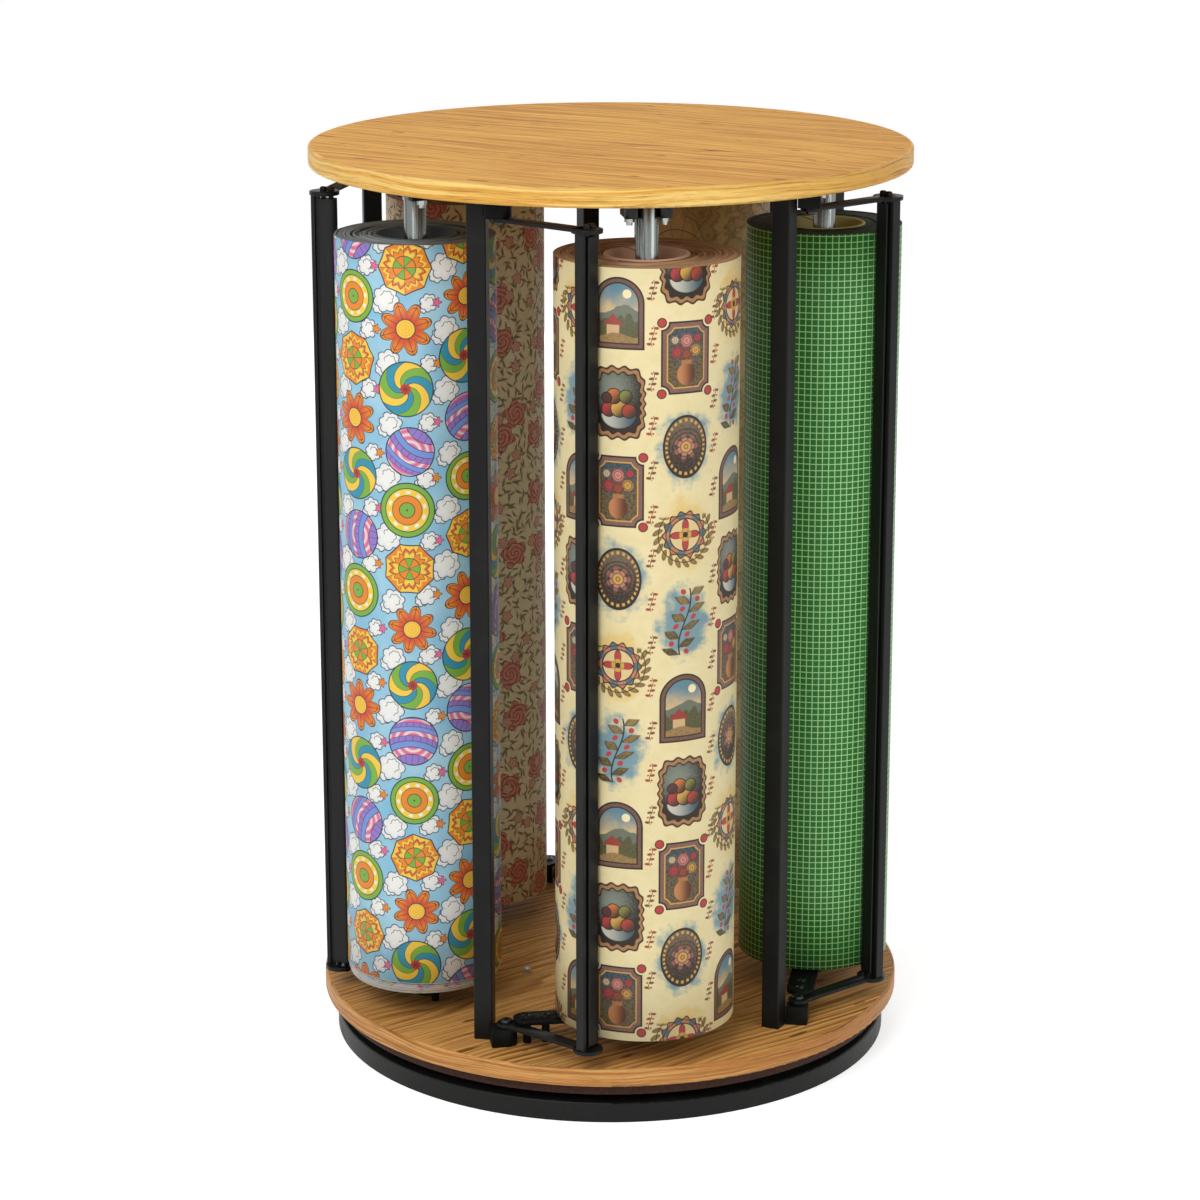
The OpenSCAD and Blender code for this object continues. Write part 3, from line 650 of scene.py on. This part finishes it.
    # A bowl of fruit on a dark plaque
    plaque_x, plaque_y = (x / 24) * (x / 24), (y / 32) * (y / 32)
    plaque = ((plaque_x * plaque_x + plaque_y * plaque_y).math("POWER", 0.25) - 1) * 26
    plaque = plaque - (angle * 18).math("COSINE")
    fruit = one_of(kind, 5)
    still = (length(x + 6, y - 14) / 30 + 0.8 * (grain - 0.5)).rise(0.1, 1).over(tone(126, 132, 120), black)
    bowl = (length(x / 16, (y + 11) / 12) - 1).math("MAXIMUM", (y + 11) / 12)
    still = fill(bowl, 0.05).over(still, (x / 30 + 0.5).rise(0, 1).over(tone(198, 196, 180), slate))
    for cx, cy, size, paint in ((-9, -6, 7, rose), (1, -5, 8, gold), (10, -7, 6.5, tone(166, 70, 54)),
                                (-4, 6, 7, tone(202, 116, 60)), (7, 6, 6, tone(128, 132, 66)), (-11, 4, 5, plum)):
        near = length(x - cx, y - cy) - size
        shade = (((x - cx) - (y - cy)) / (2.6 * size) + 0.5).rise(0.1, 1)
        still = fill(near).over(still, shade.over(paint, brown))
        still = ink(near, 0.45).over(still, black)
    panel = fill(plaque + 4).over((0.8 * grain).over(tone(128, 84, 56), tone(206, 160, 104)), still)
    panel = ink(plaque + 4, 0.6).over(panel, black)
    colour = (fruit * fill(plaque)).over(colour, panel)
    return (fruit * ink(plaque, 0.8)).over(colour, brown)


printed_roll(1, "paper_cream", posy_print, edge_light=tone(226, 186, 142), edge_dark=tone(118, 82, 52),
             matt=0.42, bundles=17, ragged=1.5)

# Green roll, right: a deep green paper with a fine pale check, the back dyed through to a dark green.
# Its edges are cut clean, so the end is nearly flat.


def check_print(at, u, v):
    """Pale lines both ways, a little uneven where the roller printed them thin."""
    pitch = 6.4
    worn = at.spot(u, v).noise(0.5, 3)
    across = abs((u / pitch).math("FRACT") - 0.5)
    up = abs((v / pitch).math("FRACT") - 0.5)
    lines = (1 - across.rise(0.055, 0.095)).math("MAXIMUM", 1 - up.rise(0.055, 0.095))
    ground = at.spot(u, v).noise(0.05, 3).over(tone(28, 100, 30), tone(40, 116, 40))
    return (lines * (0.7 + 0.3 * worn)).over(ground, tone(180, 228, 158))


printed_roll(2, "paper_green", check_print, edge_light=tone(46, 66, 40), edge_dark=tone(16, 26, 16),
             matt=0.38, bundles=9, ragged=0.5)

# Tan roll, back right: parchment-coloured paper with a chart-like print of contour lines, rays and fine circles.
# The wound edge is tan.


def chart_print(at, u, v):
    """Contours are steps of a slow noise, and rays leave a 16-point star with rings round it in every cell."""
    blot = at.spot(u, v).noise(0.012, 5, 0.6)
    land = at.spot(u, v).noise(0.018, 4, 0.5)
    foxed = at.spot(u, v).noise(0.12, 5, 0.7)
    colour = blot.rise(0.35, 0.65).over(tone(206, 178, 128), tone(178, 146, 98))
    colour = (0.5 * foxed.rise(0.55, 0.75)).over(colour, tone(150, 112, 68))
    brown = tone(92, 64, 38)
    colour = (0.55 * land.rise(0.5, 0.52)).over(colour, tone(160, 134, 92))
    contour = ink((land * 16).math("FRACT") - 0.5, 0.1)
    colour = (0.55 * contour * land.rise(0.42, 0.5)).over(colour, brown)
    _, _, x, y = cells(u, v, wide=118, tall=128)
    radius, angle = length(x, y), y.math("ARCTAN2", x)
    ray = abs((angle * (8 / math.pi)).math("FRACT") - 0.5) * radius * (math.pi / 8)
    colour = (0.5 * (1 - ray.rise(0.2, 0.55)) * fill(12 - radius)).over(colour, brown)
    star = radius - 15 / (1 + 1.3 * abs((angle * 4).math("SINE")))
    colour = fill(star).over(colour, tone(132, 70, 46))
    for size in (17, 19, 34):
        colour = ink(radius - size, 0.4).over(colour, brown)
    return colour


printed_roll(3, "paper_tan", chart_print, edge_light=tone(186, 152, 108), edge_dark=tone(96, 70, 44),
             matt=0.45, bundles=13, ragged=1.0)

# Floral roll, back left: soft beige paper with rust and pink roses among dark leaves.
# The wound edge is brown.


def scattered(sheet, scale):
    """Distances from the nearest of a scatter of points, and a number of its own for each point."""
    settings = {"voronoi_dimensions": "2D"}
    sockets = {"Vector": sheet, "Scale": scale, "Randomness": 0.75}
    x, y, _ = sheet.parts()
    px, py, _ = sheet.node("TexVoronoi", settings, sockets, "Position").parts()
    turn = sheet.node("TexVoronoi", settings, sockets, "Color").parts()[0]
    return x - px, y - py, turn


def rose_print(at, u, v):
    """Roses at scattered points, each a swirl of rings round its own centre, over leaves of pointed ovals."""
    sheet = at.spot(u, v)
    tint = sheet.noise(0.03, 4)
    colour = tint.over(tone(220, 202, 164), tone(198, 178, 136))
    for scale, size, paint, offset in ((0.07, 5.4, tone(84, 72, 50), 0.0), (0.06, 6.2, tone(106, 92, 60), 9.3),
                                       (0.082, 4.8, tone(98, 64, 46), 21.7)):
        moved = at.spot(u + offset, v - 2 * offset)
        x, y, turn = scattered(moved, scale)
        turn = turn * (2 * math.pi)
        cos, sin = turn.math("COSINE"), turn.math("SINE")
        a, b = x * cos + y * sin, y * cos - x * sin
        leaf = length(a / size, b / (0.5 * size) + 0.9) - 1.35
        leaf = leaf.math("MAXIMUM", length(a / size, b / (0.5 * size) - 0.9) - 1.35)
        colour = fill(leaf, 0.06).over(colour, paint)
        colour = (fill(leaf, 0.06) * ink(b, 0.3)).over(colour, tone(186, 170, 134))
        colour = (0.7 * ink(b + 0.06 * a * a, 0.3) * fill(abs(a) - 7)).over(colour, paint)
    for scale, size, deep, pale in ((0.0165, 17, tone(150, 62, 50), tone(212, 146, 122)),
                                    (0.026, 7, tone(166, 92, 68), tone(226, 184, 156))):
        x, y, turn = scattered(at.spot(u + size, v), scale)
        ragged = 0.35 * (sheet.noise(0.12, 3) - 0.5)
        radius, angle = length(x, y) / size + ragged, y.math("ARCTAN2", x)
        edge = (radius - 0.84 - 0.16 * (angle * 5 + turn * (2 * math.pi)).math("SINE")) * size
        swirl = (radius / 0.3 + angle / math.pi + 0.8 * sheet.noise(0.2, 2)).math("FRACT")
        bloom = (swirl + 0.5 * (sheet.noise(0.3, 3) - 0.5)).over(deep, pale)
        bloom = ink(swirl - 0.06, 0.02).over(bloom, tone(98, 40, 34))
        colour = fill(edge).over(colour, bloom)
        colour = ink(edge, 0.4).over(colour, tone(112, 54, 44))
    return colour


printed_roll(4, "paper_floral", rose_print, edge_light=tone(170, 138, 104), edge_dark=tone(88, 64, 44),
             matt=0.45, bundles=14, ragged=1.0)

# Blue roll, left: sky blue paper with bright pinwheels, striped balls and daisies among white blossoms.
# Every shape has a thin dark outline, and the loose outer turns show at the foot.


def puff(x, y, size, turn):
    """Signed distance to a scalloped cloud of seven lobes, |sin| giving each lobe its bulge."""
    return length(x, y) - size * (0.8 + 0.2 * abs((y.math("ARCTAN2", x) * 3.5 + turn).math("SINE")))


def playful_print(at, u, v):
    """Square cells hold five round toys and flowers in turn, a little out of line. White scalloped puffs lie
    under them in the gaps on one side, and small ones with florets on the other."""
    cell = 60
    column, row, x, y = cells(u, v, cell, cell)
    kind = (column * 2 + row * 3).math("FLOORED_MODULO", 5)
    dice, dice_y, _ = at.node("TexWhiteNoise", {"noise_dimensions": "2D"}, {"Vector": at.spot(column, row)},
                              "Color").parts()
    x, y = x + 4 * (dice_y - 0.5), y + 5 * (dice - 0.5)
    spin = dice * (2 * math.pi)
    cos, sin = spin.math("COSINE"), spin.math("SINE")
    radius, angle = length(x, y), y.math("ARCTAN2", x) + spin
    across, along = x * cos + y * sin, y * cos - x * sin
    eighth = angle * (4 / math.pi)
    size = 24 + 3.5 * dice_y
    outline = tone(48, 50, 62)
    orange, yellow, green, teal = tone(234, 138, 48), tone(244, 204, 76), tone(124, 176, 70), tone(58, 146, 172)
    purple, pink, red, white = tone(148, 124, 200), tone(224, 110, 152), tone(208, 72, 58), tone(238, 238, 232)
    cloudy = (at.spot(u, v).noise(0.018, 3) * 1.6 - 0.3).rise(0, 1)
    colour = cloudy.over(tone(126, 184, 214), tone(172, 212, 226))
    for lattice, (shift, largest) in enumerate(((2 * cell / 3, 15), (-2 * cell / 3, 11))):
        column_p, row_p, px, py = cells(u - shift, v, cell, cell)
        toss = at.node("TexWhiteNoise", {"noise_dimensions": "2D"}, {"Vector": at.spot(column_p + 50, row_p)})
        px, py = px + 6 * (toss - 0.5), py - 8 * (toss - 0.5)
        big = largest * (0.8 + 0.2 * toss)
        shape = puff(px, py, big, toss * 9)
        second = puff(px + 0.55 * big, py + 0.5 * big, 0.62 * big, toss * 5)
        for cloud in (second, shape):
            colour = fill(cloud).over(colour, (cloud / big).rise(-0.5, 0).over(white, tone(224, 226, 228)))
            colour = ink(cloud, 0.5).over(colour, outline)
        curl = puff(px - 0.1 * big, py - 0.08 * big, 0.5 * big, toss * 7)
        colour = (ink(curl, 0.35) * fill(0 - (px + py) - 0.2 * big)).over(colour, outline)
        if lattice == 1:
            bud_x = px - 0.9 * big
            bud = length(bud_x, py) - 5 * (0.75 + 0.25 * (py.math("ARCTAN2", bud_x) * 5).math("COSINE"))
            colour = fill(bud).over(colour, one_of(row_p.math("FLOORED_MODULO", 2), 1).over(pink, orange))
            colour = ink(bud, 0.4).over(colour, outline)

    # Parasols: eight panels and a scalloped hem
    panel = eighth.math("FLOOR").math("FLOORED_MODULO", 2)
    rim = radius - size * (1 - 0.09 * abs((angle * 4).math("SINE")))
    art = panel.over(orange, yellow)
    zigzag = abs((2 * eighth).math("FRACT") - 0.5)
    art = ink(radius - (0.78 - 0.3 * zigzag) * size, 1.3).over(art, panel.over(yellow, red))
    art = (panel * fill(radius - 0.42 * size)).over(art, green)
    art = ink(eighth.math("FRACT") * radius - 0.4, 0.3).over(art, outline)
    art = (ink(radius - (0.7 - 0.3 * zigzag) * size, 0.35) + ink(radius - 0.42 * size, 0.35)).over(art, outline)
    colour = (one_of(kind, 0) * fill(rim)).over(colour, art)
    colour = (one_of(kind, 0) * ink(rim, 0.6)).over(colour, outline)

    # Striped balls
    ball = radius - size
    bend = across + 0.012 * radius * radius
    stripe = (bend / 6).math("FLOOR").math("FLOORED_MODULO", 3)
    art = one_of(stripe, 1).over(one_of(stripe, 2).over(purple, tone(120, 150, 214)), pink)
    art = (one_of(stripe, 1) * ink((radius / 7).math("FRACT") - 0.5, 0.16)).over(art, white)
    art = ink((bend / 6).math("FRACT") * 6 - 0.4, 0.3).over(art, outline)
    rib = (along / (1 - 0.014 * radius) / 9).math("FRACT") * 9 - 0.4
    art = (ink(rib, 0.3) * one_of(stripe, 0)).over(art, outline)
    colour = (one_of(kind, 1) * fill(ball)).over(colour, art)

    # Daisies
    petal = radius - size * (0.62 + 0.38 * abs((angle * 4).math("COSINE")))
    art = (radius / size).rise(0.3, 0.9).over(red, orange)
    midrib = ((eighth + 0.5).math("FRACT") - 0.5) * radius
    art = (ink(petal + 3.4, 0.4) + ink(midrib, 0.35)).over(art, outline)
    art = fill(radius - 0.36 * size).over(art, yellow)
    art = (ink((radius / 2.6).math("FRACT") - 0.5, 0.08) * fill(radius - 0.36 * size)).over(art, orange)
    art = ink(radius - 0.36 * size, 0.5).over(art, outline)
    colour = (one_of(kind, 2) * fill(petal)).over(colour, art)
    colour = (one_of(kind, 2) * ink(petal, 0.6)).over(colour, outline)

    # Ringed discs with a ring of dots
    ring = (radius / (0.26 * size)).math("FLOOR").math("FLOORED_MODULO", 3)
    art = one_of(ring, 1).over(one_of(ring, 2).over(green, yellow), orange)
    dots = ((angle * 10).math("COSINE")).rise(0.2, 0.4) * ink(radius - 0.66 * size, 1.4)
    art = dots.over(art, white)
    art = ink((radius / (0.26 * size)).math("FRACT") * 5 - 0.4, 0.3).over(art, outline)
    colour = (one_of(kind, 3) * fill(ball)).over(colour, art)

    # Pinwheels with twisted blades
    twisted = (angle + 0.07 * radius) * (9 / (2 * math.pi))
    blade = twisted.math("FLOOR").math("FLOORED_MODULO", 3)
    art = one_of(blade, 1).over(one_of(blade, 2).over(teal, yellow), green)
    art = fill(radius - 0.2 * size).over(art, red)
    art = ink(twisted.math("FRACT") * 0.6 * radius - 0.4, 0.3).over(art, outline)
    colour = (one_of(kind, 4) * fill(ball)).over(colour, art)
    plain_rim = 1 - one_of(kind, 0).math("MAXIMUM", one_of(kind, 2))
    return (plain_rim * ink(ball, 0.6)).over(colour, outline)


printed_roll(5, "paper_blue", playful_print, edge_light=tone(176, 184, 184), edge_dark=tone(50, 58, 62),
             matt=0.4, bundles=13, ragged=2.4, loose=4)

# Cutters: two flat steel arms swing on pins, with a black anodised bar between them that rests on the paper.
# A grooved strip on the bar's outer side is the edge that the paper is torn on; tenons are riveted in the arms.

arm_black = powder_coat("arm_black", matt=0.3, shine=0.16)
for k in range(1, 6):
    eased(f"lower_arm_{k}", f"cutter_{k}", arm_black, width=0.0008)
    eased(f"upper_arm_{k}", f"cutter_{k}", arm_black, width=0.0008)
black_anodised, at = finish("black_anodised")
x, y, height = at.parts()
pulled = at.spot(x * 90, y * 90, height * 0.6).noise(20, 3)
worn = at.spot(x * 8, y * 8, height).noise(7, 4, 0.65).rise(0.5, 0.8)
coat(black_anodised, {"Base Color": worn.over(tone(14, 15, 14), tone(27, 28, 26)), "Specular IOR Level": 0.24,
                      "Roughness": 0.32 + 0.12 * pulled + 0.08 * worn}, pulled, depth=0.00005)
dress(black_anodised, *(f"{piece}_{k}" for piece in ("cutter_bar", "tear_strip") for k in range(1, 6)))

# Studio: a white floor, soft light from the front, the side and behind, and the photograph's eye height.
# Floor and world show white to the camera and in reflections, and light the object less than that.


def seen_directly(at):
    """1 for a ray from the camera, a reflection or glass, and 0 for one that lights a surface."""
    seen = at.node("LightPath", out="Is Camera Ray")
    for ray in ("Is Glossy Ray", "Is Transmission Ray"):
        seen = seen.math("MAXIMUM", at.node("LightPath", out=ray))
    return seen


floor_paint, at = finish("studio_floor")
glow = seen_directly(at).over((0, 0, 0, 1), (0.57, 0.57, 0.57, 1))
coat(floor_paint, {"Base Color": (0.82, 0.82, 0.82, 1), "Roughness": 0.9, "Specular IOR Level": 0.1,
                   "Emission Color": glow, "Emission Strength": 1.0})
floor_mesh = bpy.data.meshes.new("floor")
reach = 40
floor_mesh.from_pydata([(-reach, -reach, 0), (reach, -reach, 0), (reach, reach, 0), (-reach, reach, 0)], [],
                       [(0, 1, 2, 3)])
floor_mesh.materials.append(floor_paint)
floor = bpy.data.objects.new("floor", floor_mesh)
bpy.context.scene.collection.objects.link(floor)

world = bpy.data.worlds.new("studio")
bpy.context.scene.world = world
world.use_nodes = True
sky = world.node_tree.nodes["Background"]
air = seen_directly(Flow(world.node_tree, None)).over((0.5, 0.5, 0.5, 1), (1, 1, 1, 1))
world.node_tree.links.new(air.socket, sky.inputs["Color"])

aim = (0, 0, 0.45)
for name, place, side, watts in (("key", (-1.5, -3.0, 3.1), 2.4, 92), ("fill", (2.6, -2.4, 1.4), 1.8, 22),
                                 ("back", (0.6, 3.4, 1.2), 2.4, 26)):
    lamp = bpy.data.lights.new(name, "AREA")
    lamp.size, lamp.energy = side, watts
    lamp_object = bpy.data.objects.new(name, lamp)
    lamp_object.location = place
    direction = np.subtract(aim, place)
    lamp_object.rotation_euler = (math.atan2(math.hypot(*direction[:2]), -direction[2]), 0,
                                  math.atan2(direction[1], direction[0]) - math.pi / 2)
    lamp_object.visible_glossy = name != "back"
    bpy.context.scene.collection.objects.link(lamp_object)

camera = bpy.data.objects.new("camera", bpy.data.cameras.new("camera"))
look_down = 0.2707
camera.data.lens, camera.data.sensor_width = 106.04, 36
camera.location = (-0.01086, -3.5587, 1.4488)
camera.rotation_euler = (math.pi / 2 - look_down, 0, 0)
bpy.context.scene.collection.objects.link(camera)
bpy.context.scene.camera = camera
bpy.context.scene.view_settings.view_transform = "Standard"
